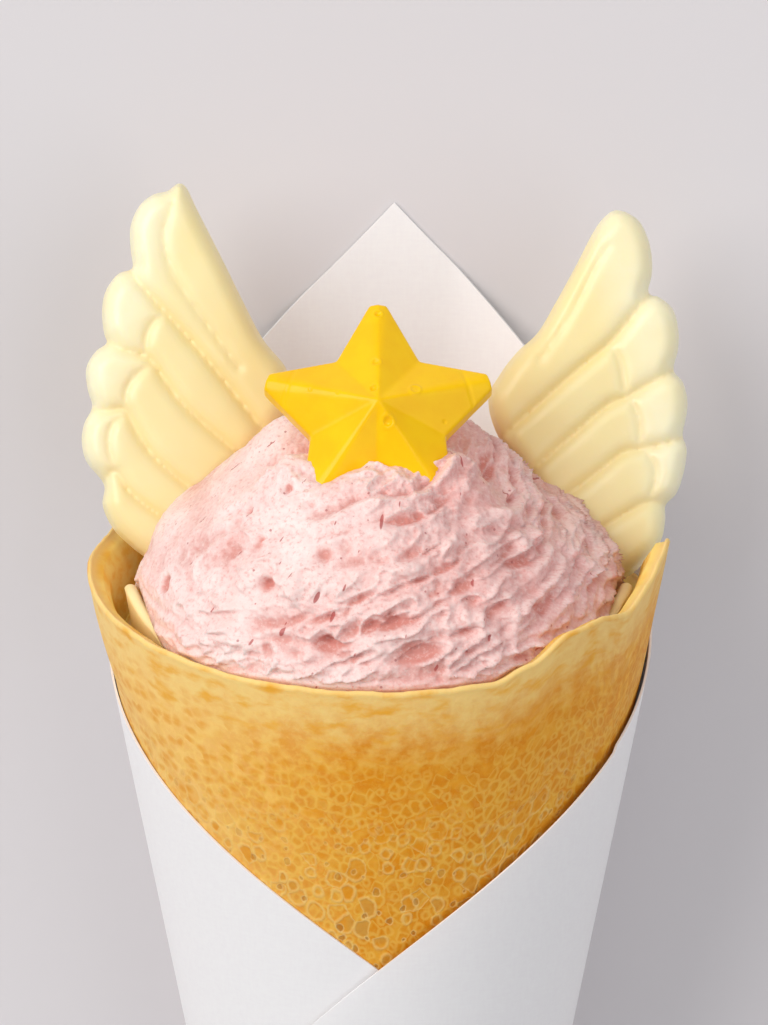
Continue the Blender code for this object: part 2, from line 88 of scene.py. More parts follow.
# The crepe.
CREPE_TIP_SLANT = 16.0
WALL_THICK = 2.3
LIP_THICK = 1.2
RIM_EDGE = 0.8
LIP_DEPTH = 2.5
GROOVE_WIDTH = 1.2
GROOVE_DEPTH = 9.0
INNER_THICK = 1.7
CAVITY_BOTTOM = 62.0
RIM_TILT = 4.13
FLARE, FLARE_AZIMUTH, FLARE_SPREAD, FLARE_RUN = 0.8, radians(-100), radians(65), 11.0
RIM_RISES = (
    (-90, 0.0), (-78, -0.8), (-64, -0.8), (-52, 0.0), (54, 0.0), (68, -7.0), (82, -6.5), (88, 2.0),
    (100, 6.2), (107, 5.4), (112, 4.0), (121, 2.3), (131, 4.1), (140, 4.1), (149, 1.3), (156, 0.0),
)
INNER_TOP_SIDE = -1.2
INNER_TOP_FRONT = -9.0
WING_AZIMUTH, WING_SPREAD, INNER_DIP = radians(72.0), radians(30.0), 7.5
# How finely the crepe is divided: round it, down the part that shows, and below that.
CREPE_SECTORS = 360
SHOWN_DEPTH, SHOWN_STEPS, HIDDEN_STEPS = 62.0, 110, 30
EDGE_STEPS, GROOVE_STEPS, TURN_STEPS = 8, 15, 9
# The skin's layers and distances below the rim that the crepe's material reads.
OUTSIDE, EDGE_LAYER_STEP, INSIDE, INNER_TURN = 0.0, 0.1, 1.0, 2.0
AT_TIP, AT_EDGE, AT_TURN_EDGE, IN_CAVITY, AT_BOTTOM = 200.0, 0.3, 0.2, 50.0, 60.0
# The thin space that the scene's wall leaves under the paper.
SKIN_GAP = 0.08

# The cream: a dome on a plug, with a mound at the front and shoulders that drop beside the wings.
DOME_RADIUS = 32.2
DOME_FRONT_BULGE = 3.5
DOME_BASE = 205.0
DOME_RISE = 25.3
MOUND_RISE = 2.4
MOUND_SPREAD = radians(46)
SHOULDER_DROP = {"left": 1.4, "right": 3.3}
# The surface's length for each radian of climb, and where the folds give way to plain lumps at the back.
CLIMB_LENGTH = 28.0
BACK_START, BACK_FULL = radians(130), radians(172)
# The folds: their rise to the right, their height and depth, and the share of each that rises slowly.
FOLD_SLOPE, FOLD_HEIGHT, FOLD_DEPTH, FOLD_SLOW_SHARE = 0.34, 4.4, 1.1, 0.78
# The thinner layers at the hem, between these two heights.
HEM_SLOPE, HEM_HEIGHT, HEM_DEPTH, HEM_START, HEM_END = 0.04, 2.3, 0.6, 208, 214
# More of the sectors are at the front, by this share.
CREAM_SECTORS = 460
CREAM_RINGS = 200
FRONT_SHARE = 0.5
# Lumps and pits in the cream: each one's place round the dome, height, radius and rise.
CREAM_MARKS = (
    (-18.4, 218.6, 3.4, 1.5), (-15.2, 217.4, 1.6, -1.7), (-11.6, 217.6, 2.6, 1.0), (-19.4, 221.0, 1.3, -1.0),
    (-8.0, 221.2, 2.4, -1.1), (-5.0, 222.4, 2.6, -0.9), (-34.6, 212.6, 1.9, -1.6), (-6.0, 211.4, 2.0, -1.1),
    (-19.0, 226.6, 1.3, -0.9), (24.6, 219.9, 2.6, 1.0), (29.6, 219.4, 2.2, 1.0), (33.0, 217.2, 1.4, -0.9),
    (36.5, 214.8, 3.0, 1.6), (21.0, 217.0, 3.2, -0.9), (12.0, 214.0, 2.4, 0.9), (4.0, 219.5, 2.6, 0.9),
    (-3.5, 209.8, 4.4, -1.0), (4.2, 210.2, 4.2, -1.0), (22.0, 213.6, 2.0, -0.9), (-26.0, 223.2, 1.4, -0.8),
)
# The humps that hold the star, in plan: place across and towards the back, radius and rise.
CREAM_HUMPS = (
    (-13.0, 0.0, 8.5, 2.7), (14.0, 0.0, 8.5, 2.9), (-11.6, -13.8, 6.5, 2.9), (10.8, -14.2, 6.8, 3.6),
)

# The star, from the middle of its flat back.
STAR_CENTRE = Vector((0.0, -8.0, 232.6))
STAR_LEAN = radians(38.0)
STAR_RADIUS = 15.3
STAR_NOTCH_RADIUS = 9.2
STAR_PEAK = 8.9
STAR_SIDE = 2.8
STAR_TIP_WIDTH = 2.2
STAR_TIP_RISE = 0.4
STAR_VOXEL, STAR_SMOOTHING = 0.17, 16
# Bubbles in the star's face: each one's place, radius, depth and the height of its lip.
STAR_MARKS = (
    (-0.5, 2.0, 0.55, 0.45, 0.0), (1.3, -2.5, 0.6, 0.5, 0.07), (4.8, 2.2, 0.5, 0.0, 0.13),
    (-0.25, 6.0, 0.5, 0.3, 0.05), (0.0, 13.7, 0.45, 0.35, 0.08), (-5.2, 1.7, 0.3, 0.15, 0.0),
    (-8.8, 2.6, 0.3, 0.15, 0.0), (8.6, -1.2, 0.3, 0.12, 0.0),
)
# The seam across each side arm: its distance from the middle, its width and its depth.
STAR_SEAM, STAR_SEAM_WIDTH, STAR_SEAM_DEPTH = 12.2, 0.4, 0.08

# The wings, drawn in a plane that leans back: how far behind the axis it starts, and its back's level.
WING_LEAN = radians(20.0)
WING_DEPTH = 7.4
WING_BACK = -1.6
WING_VOXEL, WING_SMOOTHING = 0.25, 9
WING_OUTLINES = {
    "wing_right": (
        (16.4, 22.7), (18.8, 25.8), (21.4, 28.2), (23.8, 32.2), (26.7, 37.5), (28.7, 41.4), (30.2, 43.6),
        (32.1, 44.8), (34.8, 43.6), (36.2, 41.2), (36.8, 38.5), (36.8, 36.0), (36.3, 33.6), (37.9, 33.0),
        (39.7, 31.3), (40.4, 28.5), (40.3, 25.8), (39.7, 23.2), (41.0, 21.6), (41.6, 18.9), (41.3, 16.4),
        (40.9, 14.5), (41.5, 12.6), (41.1, 9.6), (40.1, 6.7), (38.6, 5.1), (38.6, 3.2), (38.0, 0.3),
        (35.9, -2.5), (32.9, -4.9), (29.8, -5.6), (26.4, -0.2), (21.7, 5.8), (16.4, 13.8), (14.8, 19.2),
    ),
    "wing_left": (
        (-26.8, 48.4), (-28.3, 47.3), (-30.1, 46.9), (-32.1, 45.3), (-33.3, 42.4), (-33.2, 39.0),
        (-33.0, 36.9), (-34.9, 36.2), (-36.6, 33.9), (-37.1, 31.1), (-36.8, 28.1), (-36.4, 26.9),
        (-37.9, 25.8), (-39.2, 23.6), (-39.0, 20.6), (-38.4, 18.3), (-39.5, 16.0), (-39.8, 13.4),
        (-39.1, 10.8), (-36.8, 7.9), (-37.0, 5.1), (-35.7, 2.1), (-33.5, -0.2), (-31.4, -1.8), (-28.6, -3.4),
        (-25.2, 2.4), (-19.2, 9.8), (-13.8, 15.2), (-11.5, 19.2), (-12.3, 23.4), (-15.4, 27.3),
        (-18.0, 32.2), (-21.0, 38.3), (-24.4, 45.0), (-25.7, 47.7),
    ),
}
WING_REACH = max(x for x, y in WING_OUTLINES["wing_right"])
# The lines between the feathers, each with its depth and the width of its slopes.
VALLEYS = {
    "wing_right": (
        (1.9, 2.4, ((37.2, 34.6), (34.0, 30.4), (30.9, 26.7), (26.0, 22.6), (18.1, 15.6), (12.0, 10.0))),
        (1.8, 2.4, (
            (39.9, 23.4), (36.2, 21.2), (33.2, 19.5), (30.6, 18.4), (26.4, 14.8), (22.2, 11.1), (17.0, 6.0),
        )),
        (1.8, 2.4, (
            (41.5, 14.4), (38.0, 13.2), (35.0, 12.6), (32.6, 12.0), (29.5, 9.6), (26.0, 6.9), (20.0, 2.0),
        )),
        (1.7, 2.4, ((39.4, 5.2), (37.4, 5.5), (35.4, 5.2), (31.6, 3.0), (28.2, 0.7), (22.0, -4.0))),
        (1.1, 1.8, ((30.9, 26.7), (32.3, 24.6), (32.8, 22.2), (33.1, 19.6))),
        (1.1, 1.8, ((33.6, 19.4), (34.7, 17.2), (35.0, 15.0), (35.0, 12.7))),
        (1.1, 1.8, ((35.6, 12.6), (37.0, 10.4), (37.0, 8.0), (36.0, 5.3))),
        (0.8, 1.7, ((30.6, 39.6), (28.6, 36.2), (26.8, 32.6), (24.6, 28.8), (21.6, 24.6))),
    ),
    "wing_left": (
        (1.9, 2.4, (
            (-33.9, 37.2), (-31.8, 34.6), (-28.4, 30.9), (-23.9, 25.8), (-19.3, 20.2), (-15.6, 15.4),
        )),
        (1.8, 2.4, (
            (-37.2, 27.6), (-33.9, 25.8), (-31.0, 25.0), (-29.4, 23.2), (-27.6, 20.5), (-25.0, 17.5),
            (-18.0, 11.4),
        )),
        (1.8, 2.4, (
            (-39.4, 18.1), (-36.7, 17.7), (-34.0, 17.9), (-33.0, 16.4), (-31.8, 14.1), (-29.1, 10.7),
            (-23.0, 5.8),
        )),
        (1.7, 2.4, (
            (-37.9, 8.0), (-36.2, 9.0), (-35.2, 9.7), (-34.4, 8.6), (-33.3, 7.0), (-30.6, 4.7), (-25.0, 1.0),
        )),
        (1.1, 1.8, ((-28.2, 30.7), (-30.0, 29.6), (-31.0, 27.6), (-31.0, 25.2))),
        (1.1, 1.8, ((-30.4, 23.9), (-32.4, 22.4), (-33.7, 20.2), (-33.6, 18.0))),
        (1.1, 1.8, ((-32.9, 17.0), (-34.8, 16.6), (-35.9, 14.9), (-36.0, 12.6), (-35.2, 9.8))),
        (0.8, 1.7, (
            (-27.4, 45.6), (-28.7, 41.4), (-27.8, 36.8), (-25.0, 32.2), (-22.0, 28.0), (-18.6, 23.4),
        )),
    ),
}
# The levels of the wings' front and side, the width of the edge's slope, and the grid of the front's points.
WING_FRONT = 3.6
WING_SIDE = -0.4
EDGE_SLOPE = 2.9
FRONT_STEP, EDGE_CLEAR = 0.45, 0.3
CURVE_STEPS = 5

# The camera, from the photograph: its height angle over the standing rim, its distance, and where the
# middle of the rim falls in the image, in pixels.
CAMERA_ANGLE = radians(20.0)
CAMERA_DISTANCE = 700.0
PIXELS_PER_MM = 7.526
IMAGE_WIDTH, IMAGE_HEIGHT = 768, 1025
RIM_PIXEL_X, RIM_PIXEL_Y = 378, 562
SENSOR = 36.0
CLIP_START, CLIP_END = 0.01, 20.0

# The studio, in metres: each light's name, place, size, power and colour, then the sky and the floor.
LIGHTS = (
    ("key", (-1.1, 0.75, 1.2), 1.4, 21.5, (1.0, 0.985, 0.96)),
    ("fill", (0.9, 0.1, 1.2), 1.4, 5.5, (0.98, 0.98, 1.0)),
    ("top", (0.0, 1.2, 0.9), 0.9, 2.0, (1.0, 1.0, 1.0)),
)
LIGHT_TARGET = (0.0, 0.04, 0.03)
SKY_COLOUR, SKY_STRENGTH = (0.92, 0.93, 0.95, 1.0), 0.43
FLOOR_HALF, FLOOR_LEVEL = 6.0, -0.0002


def linear(red, green, blue):
    """A screen colour, 0 to 255, as the linear values that shaders take."""
    channels = [c / 255 for c in (red, green, blue)]
    return tuple(c / 12.92 if c <= 0.04045 else ((c + 0.055) / 1.055) ** 2.4 for c in channels) + (1.0,)


def tones(**screen_colours):
    return SimpleNamespace(**{name: linear(*rgb) for name, rgb in screen_colours.items()})


PAPER = tones(shade=(246, 243, 244), light=(249, 247, 247))
PANCAKE = tones(
    amber=(229, 143, 8), gold=(243, 180, 58), straw=(245, 192, 84), deep_amber=(210, 128, 4),
    pale_side=(253, 212, 128), streak=(226, 146, 22), spot=(231, 150, 12), small_bubble=(218, 138, 6),
    small_outline=(239, 190, 84), large_bubble=(226, 145, 14), low_bubble=(198, 146, 66),
    large_outline=(239, 198, 116), pore=(160, 98, 34), pore_outline=(240, 202, 128),
    pale_rim=(247, 211, 132), golden_rim=(238, 172, 54), edge=(249, 212, 138),
    pale_inside=(255, 222, 126), golden_inside=(248, 194, 76), inner_turn=(254, 230, 172),
)
CREAM = tones(
    pale=(251, 226, 221), pink=(245, 207, 201), mauve=(229, 172, 165), hollow=(208, 124, 110),
    crest=(250, 222, 216), grain=(212, 134, 124), bright_grain=(254, 236, 230), fleck=(178, 70, 66),
    dot=(176, 92, 90),
)
STAR = tones(yellow=(252, 201, 5), deep_yellow=(249, 193, 3))
WING = tones(
    tip=(252, 244, 208), pale=(250, 238, 194), middle=(245, 226, 160), root=(242, 213, 140),
    valley=(243, 212, 126),
)
FLOOR_COLOUR = linear(216, 212, 214)


def smoothstep(low, high, value):
    t = min(1.0, max(0.0, (value - low) / (high - low)))
    return t * t * (3 - 2 * t)


def bump(angle, centre, spread):
    """1 at the centre, falling smoothly to 0 at the spread on either side."""
    away = abs((angle - centre + pi) % (2 * pi) - pi)
    return 0.5 * (1 + cos(pi * away / spread)) if away < spread else 0.0


def backness(azimuth):
    """The flat strip: how much nearer to the axis the wall is here than on a round cone."""
    away = abs(azimuth_from_back(azimuth))
    return cos(FLAT_AZIMUTH) / cos(away) if away < FLAT_AZIMUTH else 1.0


def round_point(radius, height, azimuth):
    reach = radius * backness(azimuth)
    return Vector((reach * sin(azimuth), reach * cos(azimuth), height))


def cone_point(slant, azimuth, lift=0.0):
    """A point at this distance from the tip along the cone's surface, lifted outwards."""
    return round_point(slant * sin(HALF_ANGLE) + lift, slant * cos(HALF_ANGLE), azimuth)


def ripple(x, y, seed):
    """Smooth noise over a surface."""
    return noise.noise(Vector((x, y, seed)))


def cone_radius(height):
    return height * tan(HALF_ANGLE)


def lying_matrix():
    """Takes the standing frame, in millimetres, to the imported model's frame, in metres."""
    near_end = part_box("paper_sleeve")[0].y
    tip = cone_point(PAPER_TIP_SLANT, pi, OVER_LIFT + PAPER_THICK)
    near = (tip.z * cos(FLOOR_ANGLE) + tip.y * sin(FLOOR_ANGLE)) * MM
    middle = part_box("wing_right")[1].x - WING_REACH * MM
    outer = PAPER_THICK * cos(FLAT_AZIMUTH) * cos(FLOOR_ANGLE) * MM
    place = Matrix.Translation((middle, near_end - near, outer))
    return place @ Matrix.Rotation(FLOOR_ANGLE - radians(90), 4, "X") @ Matrix.Scale(MM, 4)


def link(name, data):
    obj = bpy.data.objects.new(name, data)
    bpy.context.scene.collection.objects.link(obj)
    return obj


def make_object(name, points, faces, lying, smooth_angle=40):
    """An object from points of the standing frame, smooth except at edges sharper than this angle."""
    mesh = bpy.data.meshes.new(name)
    mesh.from_pydata([lying @ Vector(p) for p in points], [], faces)
    mesh.shade_smooth()
    mesh.set_sharp_from_angle(angle=radians(smooth_angle))
    return link(name, mesh)


def outward(obj):
    shape = bmesh.new()
    shape.from_mesh(obj.data)
    bmesh.ops.recalc_face_normals(shape, faces=shape.faces)
    shape.to_mesh(obj.data)
    shape.free()


def point_vectors(obj, name, values):
    """Stores one vector for each point of the mesh, for its material to read."""
    attribute = obj.data.attributes.new(name, "FLOAT_VECTOR", "POINT")
    attribute.data.foreach_set("vector", np.array(values, np.float32).ravel())


def dress(obj, material, slot, *nodes):
    obj.data.materials.clear()
    obj.data.materials.append(material)
    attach(obj, "root")
    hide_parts(*nodes)


class Shader:
    """A Principled material whose nodes are added by short calls."""

    def __init__(self, name):
        self.material = bpy.data.materials.new(name)
        self.material.use_nodes = True
        self.nodes = self.material.node_tree.nodes
        self.links = self.material.node_tree.links
        self.surface = self.nodes["Principled BSDF"]

    def put(self, socket, value):
        if isinstance(value, bpy.types.NodeSocket):
            self.links.new(value, socket)
        else:
            socket.default_value = value

    def add(self, kind, inputs=None, **settings):
        node = self.nodes.new(kind)
        for key, value in settings.items():
            setattr(node, key, value)
        for key, value in (inputs or {}).items():
            self.put(node.inputs[key], value)
        return node

    def principled(self, **values):
        for key, value in values.items():
            self.put(self.surface.inputs[key.replace("_", " ")], value)

    def position(self):
        """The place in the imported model's frame, in millimetres."""
        place = self.add("ShaderNodeTexCoord").outputs["Object"]
        return self.vector("MULTIPLY", place, (1 / MM, 1 / MM, 1 / MM))

    def attribute(self, name):
        return self.add("ShaderNodeAttribute", attribute_name=name).outputs["Vector"]

    def flat(self, across, up):
        return self.add("ShaderNodeCombineXYZ", {"X": across, "Y": up, "Z": 0.0}).outputs["Vector"]

    def slanted(self, flat, angle, stretch):
        """Flat places turned by this many degrees and then drawn out."""
        inputs = {"Vector": flat, "Angle": radians(angle)}
        turned = self.add("ShaderNodeVectorRotate", inputs, rotation_type="Z_AXIS")
        return self.vector("MULTIPLY", turned.outputs["Vector"], stretch)

    def vector(self, operation, first, second):
        return self.add("ShaderNodeVectorMath", {0: first, 1: second}, operation=operation).outputs["Vector"]

    def parts(self, vector):
        return self.add("ShaderNodeSeparateXYZ", {"Vector": vector}).outputs

    def math(self, operation, first, second=0.0):
        return self.add("ShaderNodeMath", {0: first, 1: second}, operation=operation).outputs[0]

    def times(self, first, second):
        return self.math("MULTIPLY", first, second)

    def fade(self, value, low, high, start=0.0, end=1.0):
        inputs = {"Value": value, "From Min": low, "From Max": high, "To Min": start, "To Max": end}
        return self.add("ShaderNodeMapRange", inputs, interpolation_type="SMOOTHSTEP").outputs["Result"]

    def noise(self, vector, scale, detail=3.0, roughness=0.5):
        inputs = {"Vector": vector, "Scale": scale, "Detail": detail, "Roughness": roughness}
        return self.add("ShaderNodeTexNoise", inputs).outputs

    def cells(self, vector, scale, dimensions="3D", **settings):
        inputs = {"Vector": vector, "Scale": scale}
        return self.add("ShaderNodeTexVoronoi", inputs, voronoi_dimensions=dimensions, **settings).outputs

    def mix(self, share, first, second):
        """The first colour with this share of the second. The node has its colours in sockets 6, 7 and 2."""
        return self.add("ShaderNodeMix", {0: share, 6: first, 7: second}, data_type="RGBA").outputs[2]

    def tint(self, colour, tone, where, strength):
        """The colour with this much of the tone where the pattern is."""
        return self.mix(self.times(where, strength), colour, tone)

    def relief(self, height, distance, strength):
        inputs = {"Height": height, "Distance": distance, "Strength": strength}
        return self.add("ShaderNodeBump", inputs).outputs["Normal"]

    def finish(self, colour, roughness, normal, glow, shine=0.5):
        """Sets the surface. The glow is how much light goes in, how far by colour, and the scale of that."""
        weight, radius, scale = glow
        self.principled(Base_Color=colour, Roughness=roughness, Normal=normal, Specular_IOR_Level=shine)
        self.principled(Subsurface_Weight=weight, Subsurface_Radius=radius, Subsurface_Scale=scale)
        return self.material


def paper_material():
    shader = Shader("paper")
    place = shader.position()
    fibres = shader.noise(place, 1.6, detail=4, roughness=0.65)["Fac"]
    across = shader.noise(shader.vector("MULTIPLY", place, (3.2, 0.35, 1.0)), 1.0, detail=2)["Fac"]
    along = shader.noise(shader.vector("MULTIPLY", place, (0.35, 3.2, 1.0)), 1.0, detail=2)["Fac"]
    weave = shader.math("ADD", across, along)
    height = shader.math("ADD", shader.times(weave, 0.5), shader.times(fibres, 0.5))
    tone = shader.mix(shader.fade(height, 0.5, 1.0), PAPER.shade, PAPER.light)
    return shader.finish(tone, 0.62, shader.relief(height, 0.00004, 0.2), (0.12, (1.0, 0.9, 0.8), 0.002))


def paper_top(azimuth):
    """How far up the cone the sheet reaches: a straight edge each side of the peak, dropping at the front."""
    away = abs(azimuth - PEAK_AZIMUTH)
    turned = away * sin(HALF_ANGLE)
    edge = PEAK_SLANT * sin(PEAK_HALF_ANGLE) / sin(PEAK_HALF_ANGLE + turned)
    drop = DROP_AT_FRONT["right" if azimuth > 0 else "left"]
    return edge - drop * (max(0.0, away - DROP_START) / DROP_SPAN) ** 2


def paper_azimuths():
    down = round((PEAK_AZIMUTH - UNDER_END) / PAPER_STEP)
    up = round((OVER_END - PEAK_AZIMUTH) / PAPER_STEP)
    left = [UNDER_END + (PEAK_AZIMUTH - UNDER_END) * i / down for i in range(down)]
    right = [PEAK_AZIMUTH + (OVER_END - PEAK_AZIMUTH) * i / up for i in range(up + 1)]
    return left + right


def paper_lift(azimuth, slant, top):
    """How far the sheet stands off the cone: over the other flap, and loose and wavy at its upper edge."""
    lift = OVER_LIFT * smoothstep(LIFT_START, LIFT_FULL, azimuth)
    side = smoothstep(radians(28), radians(60), abs(azimuth))
    loose = smoothstep(30.0, 0.0, top - slant) if azimuth > LIFT_FULL else 0.0
    wave = ripple(2.1 * azimuth, slant / 45, 3.7)
    return lift + side * (0.04 + 0.08 * wave) + 0.3 * loose


def paper_sleeve(lying):
    azimuths = paper_azimuths()
    across = len(azimuths)
    points = []
    for thick in (0.0, PAPER_THICK):
        for azimuth in azimuths:
            top = paper_top(azimuth)
            for row in range(PAPER_ROWS + 1):
                slant = PAPER_TIP_SLANT + (top - PAPER_TIP_SLANT) * row / PAPER_ROWS
                points.append(cone_point(slant, azimuth, thick + paper_lift(azimuth, slant, top)))

    def at(skin, column, row):
        return (skin * across + column) * (PAPER_ROWS + 1) + row

    faces = []
    for i in range(across - 1):
        for j in range(PAPER_ROWS):
            faces.append((at(0, i, j), at(0, i, j + 1), at(0, i + 1, j + 1), at(0, i + 1, j)))
            faces.append((at(1, i, j), at(1, i + 1, j), at(1, i + 1, j + 1), at(1, i, j + 1)))
        for j in (0, PAPER_ROWS):
            faces.append((at(0, i, j), at(0, i + 1, j), at(1, i + 1, j), at(1, i, j)))
    for i in (0, across - 1):
        for j in range(PAPER_ROWS):
            faces.append((at(0, i, j), at(1, i, j), at(1, i, j + 1), at(0, i, j + 1)))
    obj = make_object("paper", points, faces, lying)
    outward(obj)
    dress(obj, paper_material(), "paper", "paper_sleeve")


def rim_height(azimuth):
    """The crepe's edge is higher at the back and rises and dips by the steps in RIM_RISES."""
    turn = degrees(azimuth_from_back(azimuth))
    rise = 0.0
    for (low, start), (high, end) in zip(RIM_RISES, RIM_RISES[1:]):
        if low <= turn < high:
            rise = start + (end - start) * smoothstep(low, high, turn)
    return RIM_HEIGHT + RIM_TILT * cos(azimuth) + rise


def wall_thick(below):
    """The outer wall thins to a lip over the last few millimetres below the rim."""
    return LIP_THICK + (WALL_THICK - LIP_THICK) * min(1.0, max(0.0, below / LIP_DEPTH))


def flare(azimuth, height):
    """How far the crepe leans out above the paper, on the left."""
    above = height - paper_top(azimuth_from_back(azimuth)) * cos(HALF_ANGLE)
    return FLARE * bump(azimuth, FLARE_AZIMUTH, FLARE_SPREAD) * smoothstep(0.0, FLARE_RUN, above)


def azimuth_from_back(azimuth):
    """The same azimuth between -180 and 180 degrees."""
    return (azimuth + pi) % (2 * pi) - pi


def inner_top(azimuth):
    """The inner turn's ragged top edge: low at the front, where the cream covers it."""
    front = smoothstep(0.25, 0.85, -cos(azimuth))
    ragged = 0.9 * ring_ripple(azimuth, 2.2, 4.0)
    level = INNER_TOP_SIDE + (INNER_TOP_FRONT - INNER_TOP_SIDE) * front
    dips = bump(azimuth, WING_AZIMUTH, WING_SPREAD) + bump(azimuth, -WING_AZIMUTH, WING_SPREAD)
    return RIM_HEIGHT + level + ragged - INNER_DIP * dips


def cavity_radius(height):
    """The inner face of the inner turn, on which the cream's plug sits."""
    return cone_radius(height) - FIT_GAP - WALL_THICK - GROOVE_WIDTH - INNER_THICK


def ring_ripple(azimuth, size, seed):
    """Smooth noise round the axis, finer with a larger size."""
    return ripple(size * cos(azimuth), size * sin(azimuth), seed)


def rounded_edge(outer, thick, top):
    """A wall's rounded top edge from its outer face to its inner one: each point's radius and height."""
    arc = []
    for step in range(1, EDGE_STEPS):
        turn = pi * step / EDGE_STEPS
        arc.append((outer - thick / 2 + thick / 2 * cos(turn), top - RIM_EDGE + RIM_EDGE * sin(turn)))
    return arc


def crepe_profile(azimuth):
    """The crepe's section here: each point's radius, height, distance below the rim and layer."""
    rim = rim_height(azimuth) + 0.25 * ring_ripple(azimuth, 9, 1.0) + 0.12 * ring_ripple(azimuth, 30, 2.0)
    groove = RIM_HEIGHT - GROOVE_DEPTH
    top = inner_top(azimuth) + 0.35 * ring_ripple(azimuth, 12, 5.0)
    low = CREPE_TIP_SLANT * cos(HALF_ANGLE)
    rows = [(0.0, low - 1.5, AT_TIP, OUTSIDE), (0.6 * cone_radius(low), low - 0.8, AT_TIP, OUTSIDE)]
    shown = rim - SHOWN_DEPTH
    heights = [low + (shown - low) * i / HIDDEN_STEPS for i in range(HIDDEN_STEPS)]
    heights += [shown + (SHOWN_DEPTH - RIM_EDGE) * i / SHOWN_STEPS for i in range(SHOWN_STEPS + 1)]
    for height in heights:
        dent = SKIN_GAP + 0.07 * ripple(5 * azimuth, height / 9, 2.0)
        rows.append((cone_radius(height) - dent + flare(azimuth, height), height, rim - height, OUTSIDE))
    outer = cone_radius(rim) - SKIN_GAP + flare(azimuth, rim)
    for step, (radius, height) in enumerate(rounded_edge(outer, RIM_EDGE, rim), 1):
        rows.append((radius, height, AT_EDGE, EDGE_LAYER_STEP * step))
    for step in range(GROOVE_STEPS + 1):
        height = rim - RIM_EDGE - (rim - RIM_EDGE - groove) * step / GROOVE_STEPS
        wobble = 0.15 * ripple(4 * azimuth, height / 4, 8.0)
        face = cone_radius(height) - FIT_GAP - wall_thick(rim - height) + flare(azimuth, height)
        rows.append((face + wobble, height, rim - height, INSIDE))
    shift = FIT_GAP + WALL_THICK + GROOVE_WIDTH
    for step in range(1, TURN_STEPS + 1):
        height = groove + (top - RIM_EDGE - groove) * step / TURN_STEPS
        wobble = 0.2 * ripple(5 * azimuth, height / 3, 12.0)
        rows.append((cone_radius(height) - shift + wobble, height, top - height, INNER_TURN))
    for radius, height in rounded_edge(cone_radius(top) - shift, INNER_THICK, top):
        rows.append((radius, height, AT_TURN_EDGE, INNER_TURN))
    for share in (0.0, 0.05, 0.1, 0.2, 0.4, 0.75, 1.0):
        height = top - RIM_EDGE - (top - RIM_EDGE - CAVITY_BOTTOM) * share
        rows.append((cavity_radius(height), height, IN_CAVITY, INSIDE))
    rows.append((0.5 * cavity_radius(CAVITY_BOTTOM), CAVITY_BOTTOM - 1.6, AT_BOTTOM, INSIDE))
    rows.append((0.0, CAVITY_BOTTOM - 2.2, AT_BOTTOM, INSIDE))
    return rows


def lathe(columns):
    """Points and faces of a closed solid from one column of points for each azimuth, ends on the axis."""
    rings = len(columns[0]) - 2
    sectors = len(columns)
    points = [columns[0][0], columns[0][-1]]
    for column in columns:
        points += column[1:-1]
    faces = []
    for i in range(sectors):
        here = 2 + i * rings
        there = 2 + (i + 1) % sectors * rings
        faces.append((0, there, here))
        faces.append((1, here + rings - 1, there + rings - 1))
        faces += [(here + j, there + j, there + j + 1, here + j + 1) for j in range(rings - 1)]
    return points, faces


def crepe(lying):
    """The pancake. Its skin holds the place round it, the depth below the rim and the layer."""
    columns = []
    skins = []
    for sector in range(CREPE_SECTORS):
        azimuth = 2 * pi * sector / CREPE_SECTORS
        rows = crepe_profile(azimuth)
        columns.append([round_point(radius, height, azimuth) for radius, height, below, layer in rows])
        skins.append([(azimuth * RIM_RADIUS, below, layer) for radius, height, below, layer in rows])
    points, faces = lathe(columns)
    skin_points = [skins[0][0], skins[0][-1]]
    for column in skins:
        skin_points += column[1:-1]
    obj = make_object("pancake", points, faces, lying, 60)
    outward(obj)
    point_vectors(obj, "skin", skin_points)
    dress(obj, crepe_material(), "pancake", "crepe")


def bubbles(shader, place, scale, least, most, line):
    """Round bubbles: the share of outline and of inside, and each bubble's own two random numbers."""
    cells = shader.cells(place, scale, "2D")
    border = shader.cells(place, scale, "2D", feature="DISTANCE_TO_EDGE")["Distance"]
    pick, tone, size = shader.parts(cells["Color"])
    radius = shader.fade(size, 0.0, 1.0, least, most)
    outside = shader.math("SUBTRACT", cells["Distance"], radius)
    away = shader.math("MAXIMUM", outside, shader.times(border, -1.0))
    outline = shader.fade(shader.math("ABSOLUTE", away), 1.35 * line * scale, 0.1 * line * scale)
    inside = shader.fade(away, 0.2 * line * scale, -0.9 * line * scale)
    return outline, inside, pick, tone


def baked_ground(shader, flat, around, patches, specks):
    """Amber and gold, streaked on the right; deeper at the middle of the front, partly own browning and
    partly painted shade; paler on the left, partly own colour and partly painted light.
    """
    colour = shader.mix(shader.fade(patches, 0.40, 0.62), PANCAKE.amber, PANCAKE.gold)
    colour = shader.mix(shader.fade(specks, 0.45, 0.72, 0.0, 0.5), colour, PANCAKE.straw)
    # Painted shade, partly the crepe's own browning: deeper amber at the middle of the front.
    middle = shader.times(shader.fade(around, 136, 116), shader.fade(around, 78, 98))
    colour = shader.tint(colour, PANCAKE.deep_amber, middle, 0.38)
    # Painted light, partly the crepe's own colour: paler towards the left side.
    colour = shader.mix(shader.fade(around, 118, 152, 0.0, 0.7), colour, PANCAKE.pale_side)
    streaks = shader.noise(shader.slanted(flat, -24, (0.75, 0.24, 1.0)), 1.0, detail=3)["Fac"]
    streaked = shader.times(shader.fade(streaks, 0.47, 0.57), shader.fade(around, 108, 80))
    return shader.tint(colour, PANCAKE.streak, streaked, 0.75)


